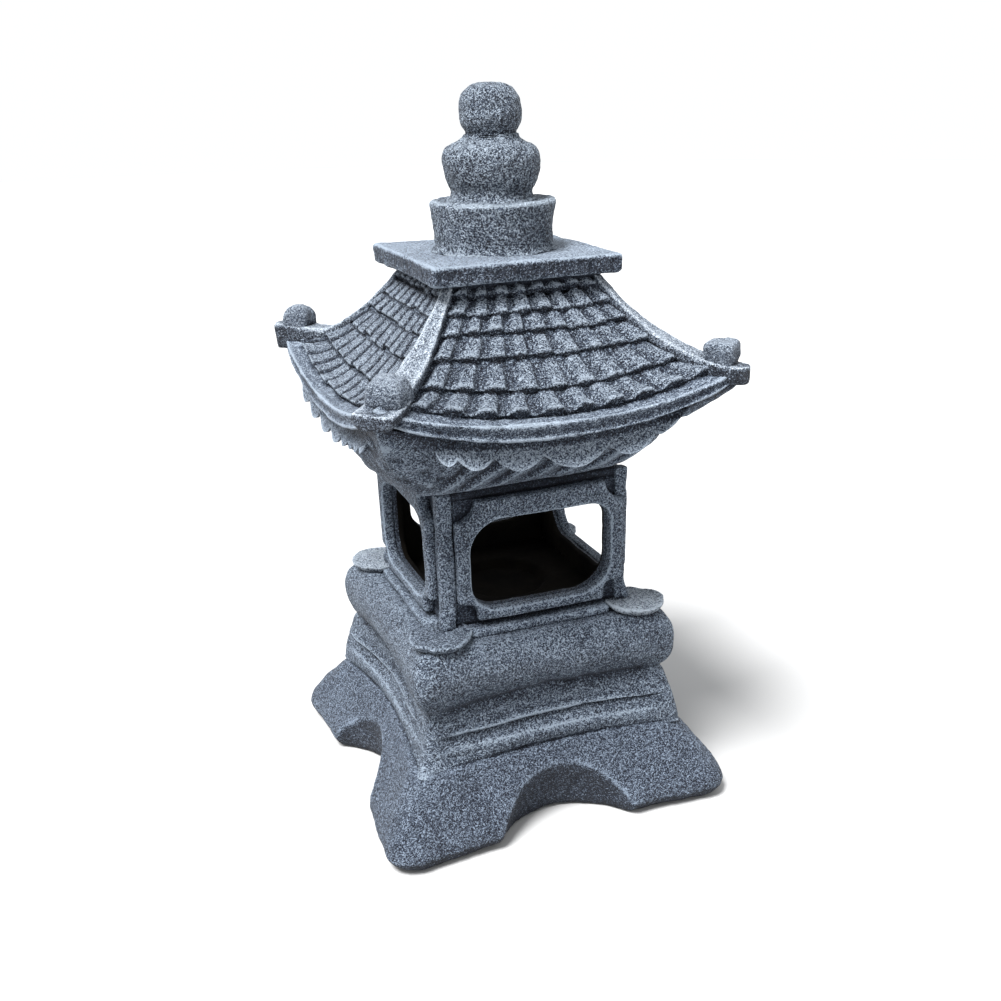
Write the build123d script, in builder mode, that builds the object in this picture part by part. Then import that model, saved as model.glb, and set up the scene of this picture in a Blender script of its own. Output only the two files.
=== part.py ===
from build123d import *
import os

# A small garden lantern of stacked stones, in millimetres. The origin is on the ground under
# the middle of the lantern, +Z is up and the front faces -Y. From the ground up: a footed
# pedestal, an open light chamber with four windows, a hipped roof with tiles and sagging
# eaves, and a gourd-shaped finial.

# ---- Levels: the height of the bed between one course of stone and the next
foot_top = 33.0
lower_step_top = 46.0
upper_step_top = 58.0
roll_top = 84.0
deck = 88.0
wall_top = 143.5
chamber_top = 147.0
soffit_top = 173.0
crown = 219.1
collar_top = 227.6
cap_top = 235.5
drum_top = 255.1
bulb_top = 280.5
overall_height = 300.0

# ---- Pedestal
foot_corner_radius = 11.0
step_corner_radius = 12.0
roll_corner_radius = 17.0
notch_radius = 34.3  # plan radius of the hollow between two feet, at the ground
notch_centre = 89.8  # distance of that circle's centre from the lantern's axis
notch_taper = 12.0
pad_centre = 44.9
pad_radius = 12.5
pad_bevel = 2.4
sill_half = 47.0
bed_gap = 0.2
recess_radius = 20.0  # seat for a tealight in the chamber floor
recess_depth = 3.0

# ---- Light chamber
post_inner = 36.0
post_outer = 42.0
post_round = 2.4
panel_thickness = 4.5
window_half_width = 29.8
window_bottom = 95.3
window_top = 134.5
window_corner = 8.0
frame_half_width = 35.8
frame_bottom = 90.6
frame_thickness = 5.0
frame_notch = 8.6
frame_bevel = 0.9
head_half = 41.5
head_opening = 33.0
locating_gap = 1.0
locating_depth = 2.5

# ---- Roof
crown_half = 27.0  # inner edge of the ledge that carries the collar
hip_start = 34.6  # half width where the slopes begin
eave_half = 70.0  # half width where the slopes end
eave_mid = 181.0  # height of the slope's lower edge at mid side
eave_corner = 192.5  # and at the corner
crown_sag = 0.3
slab_depth = 8.0
course_ends = [38.5, 43.5, 50.5, 60.0]  # half widths of the lower edges of the tile courses
tile_upper = 1.0
tile_lower = 3.0
tile_margin = 6.2
fascia_half = 76.0
fascia_depth = 6.0
valance_face = 73.0
valance_thickness = 1.6
valance_half = 51.0
valance_lobes = 6
cusp_drop = 6.0
lobe_drop = 11.5
ridge_half_width = 4.6
ridge_depth = 3.5
ridge_tip = 76.5
tip_half_width = 5.5
tip_start = 64.0
tip_bed = 194.2
tip_top = 197.2
knob_centre = 68.0
knob_size = 10.5
knob_height = 8.0
knob_round = 1.8
collar_half = 34.0
cap_half = 39.3
cap_bevel = 1.2

# ---- Finial
tenon_radius = 8.0
tenon_depth = 12.0
tenon_gap = 0.5
drum_base_radius = 23.9
drum_top_radius = 25.6

sides = {"front": 0, "right": 90, "back": 180, "left": 270}
corners = {"front_right": 0, "back_right": 90, "back_left": 180, "front_left": 270}

os.makedirs("parts", exist_ok=True)


def save(piece, name):
    """Label a finished piece and write it to its own file."""
    piece.label = name
    export_step(piece, f"parts/{name}.step")


def save_around(master, stem, places, start=0):
    """Write one copy of a piece for each place around the lantern's axis."""
    for place, turn in places.items():
        with BuildPart() as copy:
            add(master, rotation=(0, 0, start + turn))
        save(copy.part, f"{stem}_{place}")


def carved_course(sections, corner_radius):
    """A stone lofted through plan outlines. Each section is (height, corner, face): four
    sides drawn in to `face` at their middles, meeting at `corner` before rounding."""
    with BuildPart() as course:
        for height, corner, face in sections:
            with BuildSketch(Plane.XY.offset(height)):
                with BuildLine():
                    for turn in sides.values():
                        start = Vector(-corner, -corner).rotate(Axis.Z, turn)
                        middle = Vector(0, -face).rotate(Axis.Z, turn)
                        end = Vector(corner, -corner).rotate(Axis.Z, turn)
                        ThreePointArc(start, middle, end)
                make_face()
                fillet(vertices(), corner_radius)
        loft(ruled=True)
    return course.part


# ================================================================ pedestal

# Foot block: flared skirt with a rounded toe, hollowed between the feet on all four sides
foot_sections = [
    (0.0, 77.5, 71.0),
    (5.0, 80.0, 75.0),
    (10.0, 79.0, 73.0),
    (20.0, 74.5, 65.5),
    (foot_top, 67.0, 54.8),
]
with BuildPart() as foot_block:
    add(carved_course(foot_sections, foot_corner_radius))
    with BuildSketch(Plane.XY):
        with PolarLocations(notch_centre, 4):
            Circle(notch_radius)
    extrude(amount=foot_top + 1, taper=notch_taper, mode=Mode.SUBTRACT)
save(foot_block.part, "foot_block")

# Two steps that narrow towards the roll
lower_step_sections = [
    (foot_top, 65.5, 53.4),
    (40.0, 64.0, 54.6),
    (lower_step_top, 62.5, 50.6),
]
save(carved_course(lower_step_sections, step_corner_radius), "lower_step")

upper_step_sections = [
    (lower_step_top, 62.6, 51.4),
    (upper_step_top, 58.6, 48.2),
]
save(carved_course(upper_step_sections, step_corner_radius), "upper_step")

# Platform roll: the cushion-shaped course under the chamber
roll_sections = [
    (upper_step_top, 59.0, 49.2),
    (62.0, 61.6, 53.6),
    (67.0, 62.8, 56.2),
    (73.0, 62.8, 56.8),
    (78.0, 61.4, 55.4),
    (82.0, 58.4, 52.4),
    (roll_top, 55.6, 50.0),
]
save(carved_course(roll_sections, roll_corner_radius), "platform_roll")

# Sill course: floor of the chamber, let in between the corner pads, with a round seat
with BuildPart() as sill_course:
    with BuildSketch(Plane.XY.offset(roll_top)):
        Rectangle(2 * sill_half, 2 * sill_half)
        with GridLocations(2 * pad_centre, 2 * pad_centre, 2, 2):
            Circle(pad_radius + bed_gap, mode=Mode.SUBTRACT)
    extrude(amount=deck - roll_top)
    with Locations((0, 0, deck)):
        Hole(radius=recess_radius, depth=recess_depth)
save(sill_course.part, "sill_course")

# Corner pads: discs that carry the posts and overhang the roll
with BuildPart() as corner_pad:
    with BuildSketch(Plane.XY.offset(roll_top)):
        with Locations((pad_centre, -pad_centre)):
            Circle(pad_radius)
    extrude(amount=deck - roll_top)
    chamfer(faces().sort_by(Axis.Z)[0].edges(), pad_bevel)
save_around(corner_pad.part, "corner_pad", corners)

# ================================================================ light chamber

wall_height = wall_top - deck
wall_middle = (wall_top + deck) / 2
post_width = post_outer - post_inner
post_centre = (post_outer + post_inner) / 2
window_height = window_top - window_bottom
window_middle = (window_top + window_bottom) / 2

# Corner posts with a rounded outer arris
with BuildPart() as corner_post:
    with BuildSketch(Plane.XY.offset(deck)):
        with Locations((post_centre, -post_centre)):
            Rectangle(post_width, post_width)
        fillet(vertices().sort_by(Axis.X)[-2:].sort_by(Axis.Y)[0], post_round)
    extrude(amount=wall_height)
save_around(corner_post.part, "corner_post", corners)

# Wall panels between the posts, each with a window
with BuildPart() as wall_panel:
    with BuildSketch(Plane.XZ.offset(post_inner)):
        with Locations((0, wall_middle)):
            Rectangle(2 * post_inner, wall_height)
        with Locations((0, window_middle)):
            RectangleRounded(
                2 * window_half_width, window_height, window_corner, mode=Mode.SUBTRACT
            )
    extrude(amount=panel_thickness)
save_around(wall_panel.part, "wall_panel", sides)

# Window frames: raised mouldings with scooped corners
frame_height = wall_top - frame_bottom
frame_middle = (wall_top + frame_bottom) / 2
with BuildPart() as window_frame:
    with BuildSketch(Plane.XZ.offset(post_inner + panel_thickness)):
        with Locations((0, frame_middle)):
            Rectangle(2 * frame_half_width, frame_height)
            with GridLocations(2 * frame_half_width, frame_height, 2, 2):
                Circle(frame_notch, mode=Mode.SUBTRACT)
        with Locations((0, window_middle)):
            RectangleRounded(
                2 * window_half_width, window_height, window_corner, mode=Mode.SUBTRACT
            )
    extrude(amount=frame_thickness)
    chamfer(faces().sort_by(Axis.Y)[0].edges(), frame_bevel)
save_around(window_frame.part, "window_frame", sides)

# Head course: a square ring that ties the walls and carries the roof
with BuildPart() as head_course:
    with BuildSketch(Plane.XY.offset(wall_top)):
        Rectangle(2 * head_half, 2 * head_half)
        Rectangle(2 * head_opening, 2 * head_opening, mode=Mode.SUBTRACT)
    extrude(amount=chamber_top - wall_top)
save(head_course.part, "head_course")

# ================================================================ roof

# Soffit bed: the bowl-shaped stone under the eaves, with a locating step for the head course
soffit_sections = [
    (chamber_top, 45.5, 43.0),
    (151.0, 55.0, 50.5),
    (163.0, 67.0, 61.0),
    (soffit_top, 73.0, 66.5),
]
with BuildPart() as soffit_bed:
    add(carved_course(soffit_sections, step_corner_radius))
    with BuildSketch(Plane.XY.offset(chamber_top)):
        Rectangle(2 * (head_opening - locating_gap), 2 * (head_opening - locating_gap))
    extrude(amount=-locating_depth)
save(soffit_bed.part, "soffit_bed")


def hip_height(half):
    """Height of the slopes where two of them meet, at this half width."""
    run = min(1.0, (eave_half - half) / (eave_half - hip_start))
    return eave_corner + (crown - eave_corner) * run**1.9


def middle_height(half):
    """Height of a slope on its centre line, at this half width."""
    run = min(1.0, (eave_half - half) / (eave_half - hip_start))
    return eave_mid + (crown - crown_sag - eave_mid) * run**1.35


def sagging_slab(stations):
    """A slab on the front slope. Each station is (half width, lift of its underside above
    the slope, lift of its top), and its section sags between the two hips."""
    with BuildPart() as slab:
        for half, under, over in stations:
            hip = hip_height(half)
            middle = middle_height(half)
            with BuildSketch(Plane.XZ.offset(half)):
                with BuildLine():
                    ThreePointArc((-half, hip + under), (0, middle + under), (half, hip + under))
                    Line((half, hip + under), (half, hip + over))
                    ThreePointArc((half, hip + over), (0, middle + over), (-half, hip + over))
                    Line((-half, hip + over), (-half, hip + under))
                make_face()
        loft(ruled=True)
    return slab.part


# Roof slopes: four curved slabs, mitred at the hips, that lean on the soffit bed
slope_halves = [crown_half, hip_start, *course_ends, eave_half]
roof_slope = sagging_slab([(half, -slab_depth, 0.0) for half in slope_halves])
save_around(roof_slope, "roof_slope", sides)

# Tile courses: overlapping strips, thick at the lower edge, cut back beside the hips
with BuildPart() as tile_courses:
    for upper, lower in zip(slope_halves[1:-1], slope_halves[2:]):
        add(sagging_slab([(upper, 0.0, tile_upper), (lower, 0.0, tile_lower)]))
    for across in (1, -1):
        hip_cut = Plane(origin=(0, 0, 0), z_dir=(across, 1, 0)).offset(-tile_margin)
        split(bisect_by=hip_cut, keep=Keep.BOTTOM)
save_around(tile_courses.part, "tile_courses", sides)

# Fascias: the eave's edge boards, sagging with the slopes and mitred at the corners
with BuildPart() as fascia:
    with BuildSketch(Plane.XZ.offset(eave_half)):
        with BuildLine():
            ends = [(-fascia_half, eave_corner), (fascia_half, eave_corner)]
            ThreePointArc(ends[0], (0, eave_mid), ends[1])
            Line(ends[1], (fascia_half, eave_corner - fascia_depth))
            ThreePointArc(
                (fascia_half, eave_corner - fascia_depth),
                (0, eave_mid - fascia_depth),
                (-fascia_half, eave_corner - fascia_depth),
            )
            Line((-fascia_half, eave_corner - fascia_depth), ends[0])
        make_face()
    extrude(amount=fascia_half - eave_half)
    for across in (1, -1):
        split(bisect_by=Plane(origin=(0, 0, 0), z_dir=(across, 1, 0)), keep=Keep.BOTTOM)
save_around(fascia.part, "fascia", sides)

# Valances: thin scalloped skirts that hang behind the fascias
eave_rise = eave_corner - eave_mid
fascia_arc_radius = (fascia_half**2 + eave_rise**2) / (2 * eave_rise)


def under_fascia(across):
    """Height of the underside of the fascia at this distance from mid side."""
    rise = fascia_arc_radius - (fascia_arc_radius**2 - across**2) ** 0.5
    return eave_mid - fascia_depth + rise


with BuildPart() as valance:
    with BuildSketch(Plane.XZ.offset(valance_face - valance_thickness)):
        with BuildLine():
            top_left = (-valance_half, under_fascia(valance_half))
            top_right = (valance_half, under_fascia(valance_half))
            ThreePointArc(top_left, (0, under_fascia(0)), top_right)
            lobe_width = 2 * valance_half / valance_lobes
            cusps = [-valance_half + lobe * lobe_width for lobe in range(valance_lobes + 1)]
            for left, right in zip(cusps, cusps[1:]):
                middle = (left + right) / 2
                ThreePointArc(
                    (left, under_fascia(left) - cusp_drop),
                    (middle, under_fascia(middle) - lobe_drop),
                    (right, under_fascia(right) - cusp_drop),
                )
            Line(top_left, (-valance_half, under_fascia(valance_half) - cusp_drop))
            Line(top_right, (valance_half, under_fascia(valance_half) - cusp_drop))
        make_face()
    extrude(amount=valance_thickness)
save_around(valance.part, "valance", sides)

# Hip ridges: bands along the hips that end in a wider tip past the corner of the eave
diagonal = 2**0.5
with BuildPart() as hip_ridge:
    with BuildSketch(Plane.XZ):
        with BuildLine():
            lower_edge = [(half * diagonal, hip_height(half)) for half in slope_halves[1:]]
            lower_edge.append((ridge_tip * diagonal, eave_corner))
            upper_edge = [(along, height + ridge_depth) for along, height in lower_edge[:-2]]
            upper_edge += [(62 * diagonal, tip_top), (ridge_tip * diagonal, tip_top)]
            Polyline(*lower_edge, *reversed(upper_edge), close=True)
        make_face()
    extrude(amount=ridge_half_width, both=True)
    with BuildSketch(Plane.XY.offset(tip_bed)):
        with Locations(((tip_start + ridge_tip) / 2 * diagonal, 0)):
            Rectangle((ridge_tip - tip_start) * diagonal, 2 * tip_half_width)
    extrude(amount=tip_top - tip_bed)
save_around(hip_ridge.part, "hip_ridge", corners, start=-45)

# Ridge knobs: squarish bosses on the tips
with BuildPart() as ridge_knob:
    with BuildSketch(Plane.XY.offset(tip_top)):
        with Locations((knob_centre * diagonal, 0)):
            Rectangle(knob_size, knob_size)
    extrude(amount=knob_height)
    fillet(faces().sort_by(Axis.Z)[-1].edges(), knob_round)
save_around(ridge_knob.part, "ridge_knob", corners, start=-45)

# Collar and cap slab, with the round mortise for the finial
with BuildPart() as roof_collar:
    with BuildSketch(Plane.XY.offset(crown)):
        Rectangle(2 * collar_half, 2 * collar_half)
        Circle(tenon_radius + tenon_gap, mode=Mode.SUBTRACT)
    extrude(amount=collar_top - crown)
save(roof_collar.part, "roof_collar")

with BuildPart() as cap_slab:
    with BuildSketch(Plane.XY.offset(collar_top)):
        Rectangle(2 * cap_half, 2 * cap_half)
    extrude(amount=cap_top - collar_top)
    chamfer(edges(), cap_bevel)
    with Locations((0, 0, cap_top)):
        Hole(radius=tenon_radius + tenon_gap)
save(cap_slab.part, "cap_slab")

# ================================================================ finial

# Drum, with the tenon that drops into the mortise
with BuildPart() as finial_drum:
    with BuildSketch(Plane.XZ):
        with BuildLine():
            Polyline(
                (0, cap_top - tenon_depth),
                (tenon_radius, cap_top - tenon_depth),
                (tenon_radius, cap_top),
                (drum_base_radius, cap_top),
                (drum_top_radius, drum_top),
                (0, drum_top),
                close=True,
            )
        make_face()
    revolve(axis=Axis.Z)
    fillet(edges().filter_by(GeomType.CIRCLE).sort_by(Axis.Z)[-1], 0.8)
save(finial_drum.part, "finial_drum")

# Gourd: the bulb above its waist
with BuildPart() as finial_bulb:
    with BuildSketch(Plane.XZ):
        with BuildLine():
            Line((0, drum_top), (17.2, drum_top))
            ThreePointArc((17.2, drum_top), (16.0, 257.6), (16.6, 260.4))
            ThreePointArc((16.6, 260.4), (19.7, 269.4), (11.2, bulb_top))
            Line((11.2, bulb_top), (0, bulb_top))
            Line((0, bulb_top), (0, drum_top))
        make_face()
    revolve(axis=Axis.Z)
save(finial_bulb.part, "finial_bulb")

# Ball on top, a little flattened
with BuildPart() as finial_ball:
    with BuildSketch(Plane.XZ):
        with BuildLine():
            Line((0, bulb_top), (10.6, bulb_top))
            Spline(
                (10.6, bulb_top),
                (12.3, 288.0),
                (9.4, 297.0),
                (0, overall_height),
                tangents=((0.3, 1), (-1, 0)),
            )
            Line((0, overall_height), (0, bulb_top))
        make_face()
    revolve(axis=Axis.Z)
save(finial_ball.part, "finial_ball")
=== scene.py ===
"""Looks of the stone lantern: weathered, dry-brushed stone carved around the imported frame."""

import math

import bpy
import numpy as np
from mathutils import Matrix, Vector
from mathutils.bvhtree import BVHTree


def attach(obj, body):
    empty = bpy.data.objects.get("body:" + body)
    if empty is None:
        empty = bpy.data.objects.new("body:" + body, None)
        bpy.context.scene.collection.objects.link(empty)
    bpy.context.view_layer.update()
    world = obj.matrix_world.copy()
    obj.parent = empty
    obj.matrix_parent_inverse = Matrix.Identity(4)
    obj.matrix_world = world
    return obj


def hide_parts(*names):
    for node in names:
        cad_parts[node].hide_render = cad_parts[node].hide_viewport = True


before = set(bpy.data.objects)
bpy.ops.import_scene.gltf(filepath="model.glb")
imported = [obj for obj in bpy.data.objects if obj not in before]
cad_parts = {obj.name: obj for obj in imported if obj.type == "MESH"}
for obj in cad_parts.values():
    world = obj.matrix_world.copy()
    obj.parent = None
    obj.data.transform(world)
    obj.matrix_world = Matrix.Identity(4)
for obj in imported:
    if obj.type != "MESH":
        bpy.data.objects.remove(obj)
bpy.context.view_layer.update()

MM = 0.001
SIDES = {"front": 0, "right": 90, "back": 180, "left": 270}
CORNERS = {"front_right": 0, "back_right": 90, "back_left": 180, "front_left": 270}


# ---- camera and light

YAW, ELEVATION, ROLL = math.radians(-21.16), math.radians(19.98), -0.0218
HEIGHT = 0.300  # the lantern's, in metres; the next four are in heights
DISTANCE, AIM_LEVEL, AIM_RIGHT, AIM_UP = 1.6904, 0.5, 0.0027, -0.0789
SENSOR, LENS = 36.0, 41.75


def linked(name, data):
    """A new object in the scene."""
    made = bpy.data.objects.new(name, data)
    bpy.context.scene.collection.objects.link(made)
    return made


def adjusted(node, values):
    """A shader node with inputs set by name."""
    for key, value in values.items():
        node.inputs[key].default_value = value
    return node


def place_camera():
    """A camera at the photograph's place."""
    level = math.cos(ELEVATION)
    back = Vector((math.sin(YAW) * level, -math.cos(YAW) * level, math.sin(ELEVATION)))
    right = (-back).cross(Vector((0, 0, 1))).normalized()
    up = right.cross(-back)
    x_axis = math.cos(ROLL) * right + math.sin(ROLL) * up
    y_axis = math.cos(ROLL) * up - math.sin(ROLL) * right
    aim = Vector((0, 0, AIM_LEVEL)) + AIM_RIGHT * right + AIM_UP * up
    place = (aim + DISTANCE * back) * HEIGHT
    data = bpy.data.cameras.new("camera")
    data.sensor_width = SENSOR
    data.lens = LENS
    data.clip_start = 0.01
    camera = linked("camera", data)
    turn = Matrix((x_axis, y_axis, back)).transposed().to_4x4()
    camera.matrix_world = Matrix.Translation(place) @ turn
    bpy.context.scene.camera = camera


def soft_sun(name, toward, strength, spread):
    """A distant lamp so wide that its shadows are soft; `toward` points at it."""
    data = bpy.data.lights.new(name, "SUN")
    data.energy = strength
    data.angle = math.radians(spread)
    linked(name, data).rotation_euler = (-Vector(toward)).to_track_quat("-Z", "Y").to_euler()


place_camera()
soft_sun("key", (-0.46, -0.22, 0.95), 8.5, 24)
world = bpy.data.worlds.new("studio")
world.use_nodes = True
adjusted(world.node_tree.nodes["Background"], {"Color": (0.97, 0.985, 1.0, 1), "Strength": 1.03})
bpy.context.scene.world = world
bpy.context.scene.view_settings.view_transform = "Standard"


# ---- noise


def cell_corners(part):
    """The eight corners of a cell, each with its weight for points `part` of the way across."""
    for dx in (0, 1):
        wx = part[:, 0] if dx else 1 - part[:, 0]
        for dy in (0, 1):
            wy = part[:, 1] if dy else 1 - part[:, 1]
            for dz in (0, 1):
                wz = part[:, 2] if dz else 1 - part[:, 2]
                yield dx, dy, dz, wx * wy * wz


def lattice(ix, iy, iz, seed):
    """A fixed pseudo-random value from -1 to 1 at each whole-number point."""
    n = ix * 374761393 + iy * 668265263 + iz * 1442695041 + np.int64(seed * 974634777 + 1013904223)
    n = (n ^ (n >> 13)) * 1103515245
    n = (n ^ (n >> 17)) * 1299709
    n = n ^ (n >> 15)
    return (n & 0xFFFFF) / 524287.5 - 1.0


def noise(points, size, seed=0):
    """Smooth value noise from -1 to 1 whose lumps are about `size` millimetres across."""
    scaled = points / size
    base = np.floor(scaled).astype(np.int64)
    part = scaled - base
    part = part * part * (3 - 2 * part)
    total = np.zeros(len(points))
    for dx, dy, dz, weight in cell_corners(part):
        total += weight * lattice(base[:, 0] + dx, base[:, 1] + dy, base[:, 2] + dz, seed)
    return total


def ramp(value, low, high):
    """Smooth step from 0 at low to 1 at high."""
    part = np.clip((value - low) / (high - low), 0, 1)
    return part * part * (3 - 2 * part)


# ---- skins
# A skin is (vertices, quads, triangles), in millimetres. A vertex has a fourth number, its mark:
# above 0 where it is darker, for dark paint in a joint and painted shade under overhangs; below 0 where pale.


def oriented(skin):
    """The skin with its faces turned outwards."""
    v, q, t = skin
    if v.shape[1] == 3:
        v = np.concatenate([v, np.zeros((len(v), 1))], 1)
    p = v[:, :3]
    a, b, c, d = (p[q[:, k]] for k in range(4))
    volume = np.einsum("ij,ij->", a, np.cross(b, c)) + np.einsum("ij,ij->", a, np.cross(c, d))
    if len(t):
        volume += np.einsum("ij,ij->", p[t[:, 0]], np.cross(p[t[:, 1]], p[t[:, 2]]))
    if volume < 0:
        q, t = q[:, ::-1], t[:, ::-1]
    return v, q, t


def tube(rows, steps=(0.66, 0.33)):
    """Closed skin over rows (M, N, 3): each row is a loop, and both ends are closed."""
    first, last = rows[0].mean(0), rows[-1].mean(0)
    lead = [first + (rows[0] - first) * s for s in reversed(steps)]
    tail = [last + (rows[-1] - last) * s for s in steps]
    grid = np.concatenate([np.array(lead), rows, np.array(tail)]) if steps else rows
    m, n = grid.shape[:2]
    index = np.arange(m * n).reshape(m, n)
    nxt = np.roll(index, -1, axis=1)
    quads = np.stack([index[:-1], nxt[:-1], nxt[1:], index[1:]], -1).reshape(-1, 4)
    start = np.stack([nxt[0], index[0], np.full(n, m * n)], -1)
    end = np.stack([index[-1], nxt[-1], np.full(n, m * n + 1)], -1)
    v = np.concatenate([grid.reshape(m * n, -1), first[None], last[None]])
    return oriented((v, quads, np.concatenate([start, end])))


def joined(skins):
    """Several skins as one."""
    vs, qs, ts, base = [], [], [], 0
    for v, q, t in skins:
        vs.append(v)
        qs.append(q + base)
        ts.append(t + base)
        base += len(v)
    return np.concatenate(vs), np.concatenate(qs), np.concatenate(ts)


def turned(points, degrees):
    """Points turned about the lantern's axis."""
    a = math.radians(degrees)
    spin = np.eye(points.shape[-1])
    spin[:2, :2] = [[math.cos(a), -math.sin(a)], [math.sin(a), math.cos(a)]]
    return points @ spin.T


def around(points):
    """The front side's points, for all four sides."""
    return np.concatenate([turned(points, turn) for turn in SIDES.values()])


def placed(skin, degrees):
    """A skin turned about the lantern's axis."""
    v, q, t = skin
    return turned(v, degrees), q, t


def refined(profile, step):
    """Points about `step` apart along a polyline of any dimension."""
    profile = np.array(profile, float)
    out = [profile[:1]]
    for a, b in zip(profile, profile[1:]):
        count = max(1, int(round(np.linalg.norm(b[:2] - a[:2]) / step)))
        part = np.linspace(0, 1, count + 1)[1:, None]
        out.append(a + (b - a) * part)
    return np.concatenate(out)


def course(profile, radius, step=1.15):
    """A four-sided course of stone with rounded corners. The profile is (height, half width at
    mid side, half width at the corner, lip, mark): lip and mark run along the sides only."""
    profile = [(*row, 0.0, 0.0)[:5] for row in profile]
    z, face, corner, lip, mark = refined(profile, step).T
    per_side = int(2 * face.max() / step)
    t = np.linspace(-1, 1, per_side, endpoint=False)
    far = np.abs(t) ** 2
    flat = around(np.stack([t, -np.ones_like(t)], -1))
    bowed = around(np.stack([t * far, -far], -1))
    spread = max(1, int(round(radius * 0.62 / step)))
    kernel = np.hanning(2 * spread + 3)
    kernel /= kernel.sum()

    def eased(loop):
        padded = np.concatenate([loop[-spread - 1 :], loop, loop[: spread + 1]])
        return np.stack([np.convolve(padded[:, k], kernel, "valid") for k in (0, 1)], -1)

    flat, bowed = eased(flat), eased(bowed)
    more = (corner + face * flat[0, 0]) / -bowed[0, 0]
    along = face[:, None, None] * flat + more[:, None, None] * bowed
    shown = np.tile(1 - ramp(np.abs(t), 0.74, 0.96), 4)
    out = around(np.stack([0 * t, -np.ones_like(t)], -1))
    along = along + (lip[:, None] * shown)[:, :, None] * out
    height = np.broadcast_to(z[:, None, None], (*along.shape[:2], 1))
    marks = (mark[:, None] * shown)[:, :, None]
    return tube(np.concatenate([along, height, marks], -1))


def round_skin(profile, step=1.0, centre=(0, 0), steps=(0.66, 0.33)):
    """A turned piece: the profile is (height, radius)."""
    z, radius = refined(profile, step).T
    count = int(2 * math.pi * radius.max() / step)
    a = np.linspace(0, 2 * math.pi, count, endpoint=False)
    x = centre[0] + radius[:, None] * np.cos(a)
    y = centre[1] + radius[:, None] * np.sin(a)
    rows = np.stack([x, y, np.broadcast_to(z[:, None], x.shape)], -1)
    return tube(rows, steps)


def smooth_profile(points, count=12):
    """A Catmull-Rom curve through the points."""
    p = np.array(points, float)
    p = np.concatenate([2 * p[:1] - p[1:2], p, 2 * p[-1:] - p[-2:-1]])
    out = []
    for i in range(1, len(p) - 2):
        s = np.linspace(0, 1, count, endpoint=False)[:, None]
        a, b, c, d = p[i - 1 : i + 3]
        out.append(
            0.5 * (2 * b + (c - a) * s + (2 * a - 5 * b + 4 * c - d) * s**2 + (3 * b - a - 3 * c + d) * s**3)
        )
    return np.concatenate([*out, p[-2:-1]])


def averaged(skin, rounds):
    """The skin with its vertices drawn towards their neighbours."""
    v, q, t = skin
    a, b = edge_ends(q, t)
    count = np.bincount(a, minlength=len(v))[:, None]
    for _ in range(rounds):
        mean = np.stack([np.bincount(a, v[b, k], len(v)) for k in range(v.shape[1])], -1) / count
        v = v + (mean - v) * 0.5
    return v, q, t


def edge_ends(q, t):
    """Both ends of every edge, each way round."""
    pairs = [q[:, [k, (k + 1) % 4]] for k in range(4)] + [t[:, [k, (k + 1) % 3]] for k in range(3)]
    pairs = np.concatenate(pairs)
    return np.concatenate([pairs[:, 0], pairs[:, 1]]), np.concatenate([pairs[:, 1], pairs[:, 0]])


def remeshed(node, voxel, rounds=2):
    """An even skin over a CAD node, with its arrises eased."""
    copy = linked("carving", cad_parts[node].data.copy())
    remesh = copy.modifiers.new("even", "REMESH")
    remesh.mode = "VOXEL"
    remesh.voxel_size = voxel * MM
    mesh = bpy.data.meshes.new_from_object(copy.evaluated_get(bpy.context.evaluated_depsgraph_get()))
    v = np.empty(len(mesh.vertices) * 3)
    mesh.vertices.foreach_get("co", v)
    totals = np.empty(len(mesh.polygons), np.int32)
    mesh.polygons.foreach_get("loop_total", totals)
    loops = np.empty(len(mesh.loops), np.int32)
    mesh.loops.foreach_get("vertex_index", loops)
    starts = np.concatenate([[0], np.cumsum(totals)[:-1]])
    four, three = starts[totals == 4], starts[totals == 3]
    q = loops[four[:, None] + np.arange(4)]
    t = loops[three[:, None] + np.arange(3)]
    spare = copy.data
    bpy.data.objects.remove(copy)
    bpy.data.meshes.remove(spare)
    bpy.data.meshes.remove(mesh)
    return averaged(oriented((v.reshape(-1, 3) / MM, q, t)), rounds)


def vertex_normals(skin):
    """Unit normals, in which larger faces count for more."""
    v, q, t = skin
    v = v[:, :3]
    total = np.zeros_like(v)
    cross = np.cross(v[q[:, 2]] - v[q[:, 0]], v[q[:, 3]] - v[q[:, 1]])
    for faces, facing in ((q, cross), (t, np.cross(v[t[:, 1]] - v[t[:, 0]], v[t[:, 2]] - v[t[:, 0]]))):
        for corner in range(faces.shape[1]):
            for k in range(3):
                total[:, k] += np.bincount(faces[:, corner], facing[:, k], len(v))
    return total / np.maximum(np.linalg.norm(total, axis=1, keepdims=True), 1e-12)


def curvature(skin, normals):
    """How far each vertex stands above its neighbours, in millimetres, plus on an arris."""
    v, q, t = skin
    v = v[:, :3]
    a, b = edge_ends(q, t)
    count = np.bincount(a, minlength=len(v))[:, None]
    mean = np.stack([np.bincount(a, v[b, k], len(v)) for k in range(3)], -1) / count
    value = np.einsum("ij,ij->i", v - mean, normals)
    for _ in range(2):
        value = 0.4 * value + 0.6 * np.bincount(a, value[b], len(v)) / count[:, 0]
    return value


# Layers of noise, each (height, size) in millimetres.
WEATHER = ((0.50, 26), (0.34, 10), (0.24, 4.6), (0.15, 2.4))


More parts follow.
